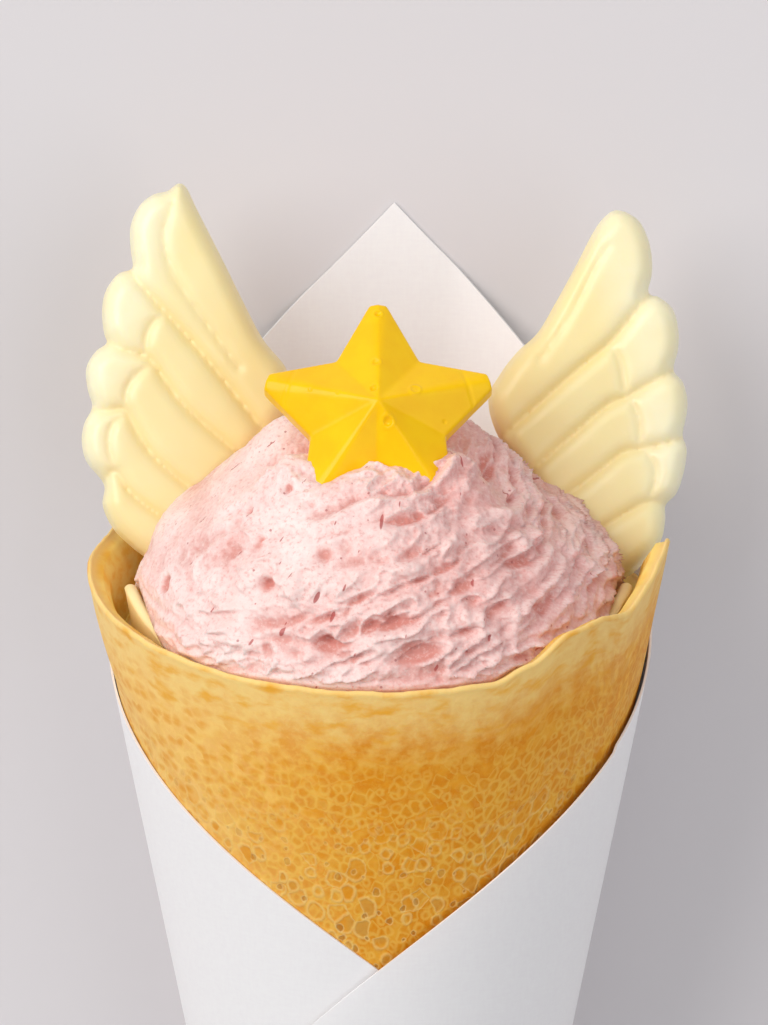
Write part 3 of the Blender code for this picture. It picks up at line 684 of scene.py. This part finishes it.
def bubbled(shader, colour, flat, bent, around, below):
    """The colour with spots, small and large bubbles and pores on it, and where it is raised and pitted."""
    spots = shader.cells(shader.vector("MULTIPLY", bent, (0.6, 1.0, 1.0)), 0.75, "2D")
    spot_pick = shader.parts(spots["Color"])[0]
    spot = shader.times(shader.fade(spots["Distance"], 0.62, 0.10), shader.fade(spot_pick, 0.10, 0.45))
    spotted = shader.times(spot, shader.fade(below, 34, 20))
    colour = shader.tint(colour, PANCAKE.spot, spotted, 0.62)

    outline, inside, pick, _ = bubbles(shader, bent, 0.60, 0.30, 0.80, 0.30)
    here = shader.times(shader.fade(below, 6, 17), shader.fade(pick, 0.12, 0.22))
    here = shader.times(here, shader.fade(around, 152, 130, 0.5, 1.0))
    colour = shader.tint(colour, PANCAKE.small_bubble, shader.times(inside, here), 0.35)
    colour = shader.tint(colour, PANCAKE.small_outline, shader.times(outline, here), 0.55)

    outline, inside, pick, tone = bubbles(shader, bent, 0.36, 0.26, 0.60, 0.30)
    here = shader.times(shader.fade(below, 14, 28), shader.fade(pick, 0.25, 0.32))
    clouds = shader.noise(flat, 0.11, detail=3)["Fac"]
    low = shader.times(shader.fade(below, 20, 42), shader.fade(clouds, 0.36, 0.52))
    filling = shader.mix(low, PANCAKE.large_bubble, PANCAKE.low_bubble)
    filled = shader.times(inside, here)
    colour = shader.mix(shader.times(filled, shader.fade(tone, 0.3, 0.7, 0.1, 0.75)), colour, filling)
    raised = shader.times(outline, here)
    colour = shader.tint(colour, PANCAKE.large_outline, raised, 0.6)

    outline, inside, pick, _ = bubbles(shader, bent, 0.50, 0.12, 0.30, 0.18)
    here = shader.times(shader.fade(below, 10, 40), shader.fade(pick, 0.66, 0.70))
    colour = shader.tint(colour, PANCAKE.pore_outline, shader.times(outline, here), 0.6)
    pored = shader.times(inside, here)
    return shader.tint(colour, PANCAKE.pore, pored, 0.55), raised, pored


def paler_rim(shader, colour, bent, below, layer, patches):
    """The colour with a pale ragged band below the rim, and pale on the edge and inside; the inside and the
    inner turn are also made paler as painted light that lifts their shade.
    """
    soft = shader.noise(shader.vector("MULTIPLY", bent, (0.2, 0.5, 1.0)), 1.0, detail=3)["Fac"]
    rim = shader.mix(shader.fade(soft, 0.44, 0.72), PANCAKE.pale_rim, PANCAKE.golden_rim)
    ragged = shader.math("ADD", shader.times(soft, 9.0), shader.times(patches, 11.0))
    reach = shader.math("SUBTRACT", below, ragged)
    colour = shader.mix(shader.fade(reach, 2, -9, 0.0, 0.9), colour, rim)
    # Painted light, partly the crepe's own paler inner side: the inside and the inner turn are made paler to
    # lift their shade.
    inside = shader.mix(shader.fade(soft, 0.4, 0.65), PANCAKE.pale_inside, PANCAKE.golden_inside)
    colour = shader.mix(shader.fade(layer, 0.1, 0.5), colour, PANCAKE.edge)
    colour = shader.mix(shader.fade(layer, 0.6, 1.0), colour, inside)
    return shader.mix(shader.fade(layer, 1.2, 1.8), colour, PANCAKE.inner_turn)


def crepe_material():
    """Golden pancake: bubbles with pale outlines over amber, paler at the rim, greyer and pitted low down."""
    shader = Shader("pancake")
    around, below, layer = shader.parts(shader.attribute("skin"))
    flat = shader.flat(around, below)
    wander = shader.noise(flat, 0.7, detail=2)["Color"]
    bent = shader.vector("ADD", flat, shader.vector("MULTIPLY", wander, (0.8, 0.8, 0.0)))
    patches = shader.noise(bent, 0.33, detail=4, roughness=0.6)["Fac"]
    specks = shader.noise(bent, 1.3, detail=3, roughness=0.6)["Fac"]
    colour = baked_ground(shader, flat, around, patches, specks)
    colour, raised, pored = bubbled(shader, colour, flat, bent, around, below)
    colour = paler_rim(shader, colour, bent, below, layer, patches)
    height = shader.math("ADD", shader.times(raised, 0.5), shader.times(specks, 0.6))
    height = shader.math("SUBTRACT", height, shader.times(pored, 0.8))
    bumps = shader.relief(height, 0.0002, 0.6)
    return shader.finish(colour, 0.55, bumps, (0.1, (1.0, 0.5, 0.15), 0.002), 0.25)


def terrace(value):
    """A fold: rises slowly and drops off sharply once in each whole step."""
    part = value - floor(value)
    return part / FOLD_SLOW_SHARE if part < FOLD_SLOW_SHARE else (1 - part) / (1 - FOLD_SLOW_SHARE)


def folds(along, up, around, high, tear):
    """Spatula folds that rise to the right over the upper cream, and thinner level layers at its hem."""
    drift = ripple(along / 9, up / 7, 5.0)
    upper = smoothstep(-30, 2, around) * smoothstep(209, 213, high)
    fold = terrace((up - FOLD_SLOPE * along + 2.6 * drift + 0.75 * tear) / FOLD_HEIGHT)
    height = upper * FOLD_DEPTH * (fold - 0.5) * (0.55 + 0.9 * smoothstep(-0.35, 0.3, drift))
    hem = 1 - smoothstep(HEM_START, HEM_END, high)
    layer = terrace((up - HEM_SLOPE * along + 1.2 * drift + 0.3 * tear) / HEM_HEIGHT)
    return height + hem * HEM_DEPTH * (layer - 0.5)


def torn_surface(along, up, around, tear):
    """Torn crests and a grain that are rougher in patches and calm on the left, over broad swells."""
    patch = smoothstep(-0.45, 0.1, ripple(along / 10, up / 8, 41.0))
    rough = smoothstep(-42, -18, around) * patch
    crest = 1 - 2 * abs(ripple(along / 4.5, (up - 0.4 * along) / 2.2, 13.0))
    height = rough * (max(0.0, crest) ** 3 + 0.5 * tear) + 0.25 * tear
    height += 0.85 * ripple(along / 17, (up - 0.3 * along) / 6.5, 7.0)
    grain = noise.fractal(Vector((along / 0.9, up / 0.8, 31.0)), 0.9, 2.2, 3)
    return height + grain * (0.13 + 0.10 * rough)


def cream_height(point):
    """The cream's relief here, in millimetres: folds, torn crests and pits, and plain lumps at the back."""
    turn = atan2(point.x, -point.y)
    around, high = turn * DOME_RADIUS, point.z
    reach = sqrt(point.x**2 + point.y**2)
    along = turn * reach
    up = CLIMB_LENGTH * atan2((high - DOME_BASE) / DOME_RISE, reach / DOME_RADIUS)
    tear = noise.fractal(Vector((along / 3.2, up / 2.6, 15.0)), 0.9, 2.1, 4)
    height = folds(along, up, around, high, tear) + torn_surface(along, up, around, tear)
    for centre, level, radius, rise in CREAM_MARKS:
        away = sqrt((around - centre) ** 2 + (1.3 * (high - level)) ** 2) / (radius * (1 + 0.4 * tear))
        height += rise * max(0.0, 1 - away * away) ** 2 if away < 1 else 0.0
    back = smoothstep(BACK_START, BACK_FULL, abs(turn))
    plain = 0.7 * noise.fractal(point / 4.0, 0.9, 2.1, 4)
    return height * (1 - back) + plain * back


def dome_point(azimuth, climb):
    """A point of the dome: climb is the angle up from its widest ring."""
    front = smoothstep(0.2, 0.95, -cos(azimuth))
    reach = (DOME_RADIUS + DOME_FRONT_BULGE * front) * cos(climb)
    rise = DOME_RISE * sin(climb)
    drop = SHOULDER_DROP["right" if sin(azimuth) > 0 else "left"] * sin(azimuth) ** 2
    drop *= bump(climb, radians(48), radians(36))
    reach -= 0.7 * drop
    rise -= 0.7 * drop
    rise += MOUND_RISE * bump(azimuth, pi, MOUND_SPREAD) * bump(climb, radians(54), radians(26))
    across, back = reach * sin(azimuth), reach * cos(azimuth)
    for hump_across, hump_back, radius, hump_rise in CREAM_HUMPS:
        away = ((across - hump_across) ** 2 + (back - hump_back) ** 2) / radius**2
        rise += hump_rise * max(0.0, 1 - away) ** 2
    point = Vector((across, back, DOME_BASE + rise))
    normal = Vector((point.x, point.y, (point.z - DOME_BASE) * DOME_RADIUS / DOME_RISE)).normalized()
    fade = smoothstep(radians(1), radians(6), climb) * (1 - smoothstep(radians(64), radians(84), climb))
    height = cream_height(point) * fade
    point += normal * height - Vector((0, 0, 0.35)) * height
    if point.z < rim_height(azimuth) + 0.5:
        limit = cone_radius(point.z) - wall_thick(rim_height(azimuth) - point.z) - FIT_GAP
        share = min(1.0, limit / sqrt(point.x**2 + point.y**2))
        point = Vector((point.x * share, point.y * share, point.z))
    return point


def cream_profile(azimuth):
    """Up the plug inside the crepe, out over the inner turn's edge, and over the dome."""
    bottom = CAVITY_BOTTOM + FIT_GAP
    column = [Vector((0, 0, bottom - 1.9))]
    column.append(round_point(0.5 * cavity_radius(CAVITY_BOTTOM), bottom - 1.3, azimuth))
    edge = inner_top(azimuth) - 1.0
    for share in (0.0, 0.3, 0.65, 0.92, 1.0):
        height = bottom + (edge - bottom) * share
        column.append(round_point(cavity_radius(height) - FIT_GAP, height, azimuth))
    seat = max(inner_top(azimuth) + FIT_GAP, DOME_BASE - 5.0)
    front = smoothstep(0.2, 0.95, -cos(azimuth))
    wide = min(DOME_RADIUS + DOME_FRONT_BULGE * front, cone_radius(seat) - WALL_THICK - 3 * FIT_GAP)
    first = max(0.02, (seat - DOME_BASE) / DOME_RISE + 0.02)
    column.append(round_point(cavity_radius(edge + 1) - FIT_GAP, inner_top(azimuth) + FIT_GAP, azimuth))
    if front > 0.0:
        column.append(round_point(wide, seat, azimuth))
    else:
        column.append(column[-1] + Vector((0, 0, 0.15)))
    for ring in range(CREAM_RINGS):
        climb = first + (pi / 2 - first) * ring / CREAM_RINGS
        column.append(dome_point(azimuth, climb))
    column.append(Vector((0, 0, DOME_BASE + DOME_RISE)))
    return column


def cream(lying):
    """The dome and its plug. Its skin holds the place round it, the height and the relief."""
    columns = []
    for i in range(CREAM_SECTORS):
        turn = 2 * pi * i / CREAM_SECTORS
        columns.append(cream_profile(turn + FRONT_SHARE * sin(turn)))
    points, faces = lathe(columns)
    obj = make_object("strawberry_cream", points, faces, lying, 180)
    outward(obj)
    point_vectors(obj, "skin", [(atan2(p.x, -p.y) * DOME_RADIUS, p.z, cream_height(p)) for p in points])
    dress(obj, cream_material(), "strawberry_cream", "cream")


def cream_material():
    """Pale strawberry cream with red flecks and dots; painted shade: mauve on the right side and darker,
    redder hollows; painted light: paler crests.
    """
    shader = Shader("strawberry_cream")
    place = shader.position()
    around, high, relief = shader.parts(shader.attribute("skin"))
    tone = shader.noise(place, 0.12, detail=4, roughness=0.6)["Fac"]
    colour = shader.mix(shader.fade(tone, 0.35, 0.65), CREAM.pale, CREAM.pink)
    # Painted shade: mauve over the right side, away from the key light.
    mauve = shader.times(shader.fade(around, -18, 24, 0.0, 0.75), shader.fade(around, 98, 66))
    colour = shader.mix(mauve, colour, CREAM.mauve)
    # Painted shade in the hollows and painted light on the crests, following the relief.
    colour = shader.tint(colour, CREAM.hollow, shader.fade(relief, 0.1, -0.9), 0.8)
    colour = shader.tint(colour, CREAM.crest, shader.fade(relief, 0.3, 1.0), 0.5)
    fine = shader.noise(place, 1.7, detail=4, roughness=0.65)["Fac"]
    colour = shader.mix(shader.fade(fine, 0.5, 0.72, 0.0, 0.5), colour, CREAM.grain)
    colour = shader.mix(shader.fade(fine, 0.5, 0.32, 0.0, 0.3), colour, CREAM.bright_grain)
    flecks = shader.cells(shader.slanted(shader.flat(around, high), 22, (1.0, 0.42, 1.0)), 0.42, "2D")
    pick, size, _ = shader.parts(flecks["Color"])
    gap = shader.math("SUBTRACT", flecks["Distance"], shader.fade(size, 0.0, 1.0, 0.03, 0.12))
    fleck = shader.times(shader.fade(gap, 0.02, -0.02), shader.fade(pick, 0.76, 0.78))
    colour = shader.tint(colour, CREAM.fleck, fleck, 0.8)
    dots = shader.cells(place, 0.55)
    dot_pick = shader.parts(dots["Color"])[0]
    dot = shader.times(shader.fade(dots["Distance"], 0.13, 0.07), shader.fade(dot_pick, 0.66, 0.68))
    colour = shader.tint(colour, CREAM.dot, dot, 0.7)
    return shader.finish(colour, 0.5, shader.relief(fine, 0.00018, 0.5), (0.2, (1.0, 0.45, 0.4), 0.0015), 0.4)


def star_axes():
    """The star's own axes in the standing frame: right, up along its face, and out of it."""
    right = Vector((1, 0, 0))
    out = Vector((0, -cos(STAR_LEAN), sin(STAR_LEAN)))
    return Matrix((right, out.cross(right), out)).transposed()


def star_outline():
    """The top edge of the star's sides: three points for each blunt tip and one for each notch."""
    outline = []
    for arm in range(5):
        turn = radians(90 + 72 * arm)
        side = STAR_TIP_WIDTH / 2 / STAR_RADIUS
        for angle, reach, rise in (
            (turn - side, STAR_RADIUS, 0.0), (turn, STAR_RADIUS, STAR_TIP_RISE),
            (turn + side, STAR_RADIUS, 0.0), (turn + radians(36), STAR_NOTCH_RADIUS, 0.0),
        ):
            outline.append((reach * cos(angle), reach * sin(angle), STAR_SIDE + rise))
    return outline


def star_mark(x, y):
    """How far the star's face lies below the plain facets here: bubbles, and a seam across each side arm."""
    depth = 0.0
    for centre_x, centre_y, radius, deep, lip in STAR_MARKS:
        away = sqrt((x - centre_x) ** 2 + (y - centre_y) ** 2) / radius
        depth += deep * max(0.0, 1 - away * away) - lip * max(0.0, 1 - ((away - 1.35) / 0.5) ** 2)
    for turn in (radians(18), radians(162)):
        along = (x * cos(turn) + y * sin(turn) - STAR_SEAM) / STAR_SEAM_WIDTH
        depth += STAR_SEAM_DEPTH * max(0.0, 1 - along * along)
    return depth


def remeshed(obj, voxel, smoothing):
    """The object's closed parts joined into one skin of small even faces, then softened."""
    grid = obj.modifiers.new("grid", "REMESH")
    grid.mode = "VOXEL"
    grid.voxel_size = voxel
    soft = obj.modifiers.new("soft", "SMOOTH")
    soft.factor = 0.5
    soft.iterations = smoothing
    bpy.context.view_layer.update()
    graph = bpy.context.evaluated_depsgraph_get()
    mesh = bpy.data.meshes.new_from_object(obj.evaluated_get(graph))
    bpy.data.objects.remove(obj, do_unlink=True)
    return mesh


def star(lying):
    outline = star_outline()
    count = len(outline)
    points = [(x, y, 0.0) for x, y, top in outline] + outline + [(0.0, 0.0, STAR_PEAK)]
    faces = [tuple(reversed(range(count)))]
    for i in range(count):
        after = (i + 1) % count
        faces.append((i, after, count + after, count + i))
        faces.append((count + i, count + after, 2 * count))
    rough = make_object("star_rough", points, faces, Matrix.Identity(4))
    mesh = remeshed(rough, STAR_VOXEL, STAR_SMOOTHING)
    for vertex in mesh.vertices:
        if vertex.co.z > STAR_SIDE:
            vertex.co.z -= star_mark(vertex.co.x, vertex.co.y)
    mesh.transform(lying @ Matrix.Translation(STAR_CENTRE) @ star_axes().to_4x4())
    mesh.shade_smooth()
    dress(link("chocolate_star", mesh), star_material(), "yellow_chocolate", "star")


def star_material():
    shader = Shader("yellow_chocolate")
    place = shader.position()
    tone = shader.noise(place, 0.25, detail=3)["Fac"]
    colour = shader.mix(shader.fade(tone, 0.3, 0.7), STAR.yellow, STAR.deep_yellow)
    bumps = shader.relief(shader.noise(place, 1.2, detail=3)["Fac"], 0.00008, 0.3)
    return shader.finish(colour, 0.28, bumps, (0.04, (1.0, 0.5, 0.1), 0.0012), 0.22)


def spline(a, b, c, d, steps):
    """A smooth curve's points from b up to c, where a and d are the points before and after."""
    curve = []
    for step in range(steps):
        t = step / steps
        square, cube = 2 * a - 5 * b + 4 * c - d, 3 * b - a - 3 * c + d
        curve.append(0.5 * (2 * b + (c - a) * t + square * t * t + cube * t**3))
    return curve


def smooth_loop(outline, steps):
    """A closed curve through the outline's points, with this many steps between neighbours."""
    count = len(outline)
    curve = []
    for i in range(count):
        curve += spline(*(Vector(outline[(i + k) % count]) for k in (-1, 0, 1, 2)), steps)
    return curve


def smooth_line(points, steps):
    """A smooth open curve through these points, as rows of x and y."""
    inner = [Vector(point) for point in points]
    ends = [2 * inner[0] - inner[1], *inner, 2 * inner[-1] - inner[-2]]
    curve = []
    for a, b, c, d in zip(ends, ends[1:], ends[2:], ends[3:]):
        curve += spline(a, b, c, d, steps)
    return np.array([*curve, inner[-1]])


def distance_to_line(places, line):
    """How far each place is from a line of short straight pieces."""
    nearest = np.full(len(places), 1e9)
    for start, end in zip(line, line[1:]):
        along = end - start
        share = np.clip(((places - start) @ along) / (along @ along), 0.0, 1.0)
        away = places - start - share[:, None] * along
        nearest = np.minimum(nearest, np.hypot(away[:, 0], away[:, 1]))
    return nearest


def rounded(distance, width):
    """0 on a line, rising like a quarter circle to 1 at this distance from it."""
    return np.sqrt(1 - (1 - np.clip(distance / width, 0.0, 1.0)) ** 2)


def valley_cut(name, places):
    """How many millimetres the valleys cut from the wing's front at each place."""
    cut = np.zeros(len(places))
    for depth, slope, points in VALLEYS[name]:
        away = distance_to_line(places, smooth_line(points, CURVE_STEPS))
        cut = np.maximum(cut, depth * (1 - rounded(away, slope)))
    return cut


def wing_front(name, places, loop):
    """The front's height over the wing's plane: domed feathers, valleys between them and a rounded edge."""
    edge = rounded(distance_to_line(places, np.array([*loop, loop[0]])), EDGE_SLOPE)
    swell = np.array([0.18 * ripple(x / 5, y / 5, 2.0) for x, y in places])
    return WING_SIDE + (WING_FRONT - WING_SIDE + swell - valley_cut(name, places)) * edge


def wing_plan(loop):
    """The wing's plane divided into small faces: its points, the loop's first, and the faces."""
    low_x, low_y = min(p.x for p in loop), min(p.y for p in loop)
    wide, tall = max(p.x for p in loop) - low_x, max(p.y for p in loop) - low_y
    inner = []
    for row in range(int(tall / FRONT_STEP)):
        for column in range(int(wide / FRONT_STEP)):
            inner.append((low_x + (column + 0.5 * (row % 2)) * FRONT_STEP, low_y + row * FRONT_STEP))
    away = distance_to_line(np.array(inner), np.array([*loop, loop[0]]))
    spread = loop + [Vector(point) for point, gap in zip(inner, away) if gap > EDGE_CLEAR]
    edges = [(i, (i + 1) % len(loop)) for i in range(len(loop))]
    flat, _, faces, *_ = geometry.delaunay_2d_cdt(spread, edges, [], 1, 1e-5)
    return np.array(flat), faces


def border(faces):
    """The edges that only one of the faces has."""
    uses = {}
    for face in faces:
        for start, end in zip(face, (*face[1:], face[0])):
            uses.setdefault((min(start, end), max(start, end)), []).append((start, end))
    return [pair[0] for pair in uses.values() if len(pair) == 1]


def wing(name, lying):
    """A solid wing with a flat back. Its skin holds the valleys' depth and the place in the wing's plane."""
    loop = smooth_loop(WING_OUTLINES[name], CURVE_STEPS)
    places, faces = wing_plan(loop)
    heights = wing_front(name, places, loop)
    count = len(places)
    points = [(x, y, z) for (x, y), z in zip(places, heights)] + [(x, y, WING_BACK) for x, y in places]
    skin = [tuple(face) for face in faces] + [tuple(count + i for i in reversed(face)) for face in faces]
    skin += [(end, start, count + start, count + end) for start, end in border(faces)]
    rough = make_object(name + "_rough", points, skin, Matrix.Identity(4))
    outward(rough)
    mesh = remeshed(rough, WING_VOXEL, WING_SMOOTHING)
    places = np.array([(vertex.co.x, vertex.co.y) for vertex in mesh.vertices])
    cuts = valley_cut(name, places)
    place = Matrix.Translation(Vector((0, WING_DEPTH, RIM_HEIGHT)))
    place = place @ Matrix.Rotation(radians(90) - WING_LEAN, 4, "X")
    mesh.transform(lying @ place)
    mesh.shade_smooth()
    obj = link("chocolate_" + name, mesh)
    point_vectors(obj, "skin", [(cut, x, y) for cut, (x, y) in zip(cuts, places)])
    return obj


def wings(lying):
    finish = wing_material()
    for name in WING_OUTLINES:
        dress(wing(name, lying), finish, "pale_chocolate", name)


def wing_material():
    """Pale chocolate, nearly white on the feathers' tips, with painted shade: yellower towards the roots and
    in the valleys.
    """
    shader = Shader("pale_chocolate")
    place = shader.position()
    cut, across, up = shader.parts(shader.attribute("skin"))
    tone = shader.noise(place, 0.09, detail=3)["Fac"]
    colour = shader.mix(shader.fade(tone, 0.35, 0.65), WING.tip, WING.pale)
    # Painted shade: yellower from the outer tips in towards the roots.
    out = shader.math("ADD", shader.math("ABSOLUTE", across), shader.times(up, 0.25))
    colour = shader.mix(shader.fade(out, 42.5, 35, 0.0, 0.75), colour, WING.middle)
    colour = shader.mix(shader.fade(out, 34, 20, 0.0, 0.6), colour, WING.root)
    # Painted shade: yellower in the valleys between the feathers.
    colour = shader.mix(shader.fade(cut, 0.1, 1.8, 0.0, 0.3), colour, WING.valley)
    bumps = shader.relief(shader.noise(place, 1.0, detail=3)["Fac"], 0.00006, 0.3)
    return shader.finish(colour, 0.36, bumps, (0.22, (1.0, 0.75, 0.3), 0.002))


def camera(lying):
    """The photograph's view of the rim, turned with the crepe as it is laid down."""
    toward = Vector((0, -cos(CAMERA_ANGLE), sin(CAMERA_ANGLE)))
    up = Vector((0, sin(CAMERA_ANGLE), cos(CAMERA_ANGLE)))
    right = Vector((1, 0, 0))
    rim = Vector((0, 0, RIM_HEIGHT))
    eye = rim + toward * CAMERA_DISTANCE
    aim_right = (IMAGE_WIDTH / 2 - RIM_PIXEL_X) / PIXELS_PER_MM
    aim_up = (RIM_PIXEL_Y - IMAGE_HEIGHT / 2) / PIXELS_PER_MM
    aim = rim + right * aim_right + up * aim_up
    turn = lying.to_3x3().normalized()
    look = (turn @ (eye - aim)).normalized()
    side = (turn @ up).cross(look).normalized()
    frame = Matrix((side, look.cross(side), look)).transposed().to_4x4()
    data = bpy.data.cameras.new("camera")
    data.sensor_width = SENSOR
    data.lens = SENSOR * PIXELS_PER_MM * CAMERA_DISTANCE / IMAGE_HEIGHT
    data.clip_start = CLIP_START
    data.clip_end = CLIP_END
    obj = link("camera", data)
    obj.matrix_world = Matrix.Translation(lying @ eye) @ frame
    bpy.context.scene.camera = obj


def area_light(name, place, size, power, colour):
    data = bpy.data.lights.new(name, "AREA")
    data.shape = "DISK"
    data.size = size
    data.energy = power
    data.color = colour
    obj = link(name, data)
    obj.location = place
    obj.rotation_euler = (Vector(place) - Vector(LIGHT_TARGET)).to_track_quat("Z", "Y").to_euler()


def studio():
    shader = Shader("floor")
    shader.principled(Base_Color=FLOOR_COLOUR, Roughness=0.9)
    corners = [(FLOOR_HALF * x, FLOOR_HALF * y, FLOOR_LEVEL) for x, y in ((-1, -1), (1, -1), (1, 1), (-1, 1))]
    ground = make_object("floor", corners, [(0, 1, 2, 3)], Matrix.Identity(4))
    ground.data.materials.append(shader.material)
    for light in LIGHTS:
        area_light(*light)
    world = bpy.data.worlds.new("studio")
    world.use_nodes = True
    background = world.node_tree.nodes["Background"]
    background.inputs["Color"].default_value = SKY_COLOUR
    background.inputs["Strength"].default_value = SKY_STRENGTH
    bpy.context.scene.world = world
    bpy.context.scene.view_settings.view_transform = "Standard"


def main():
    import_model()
    lying = lying_matrix()
    camera(lying)
    studio()
    paper_sleeve(lying)
    crepe(lying)
    cream(lying)
    star(lying)
    wings(lying)


main()
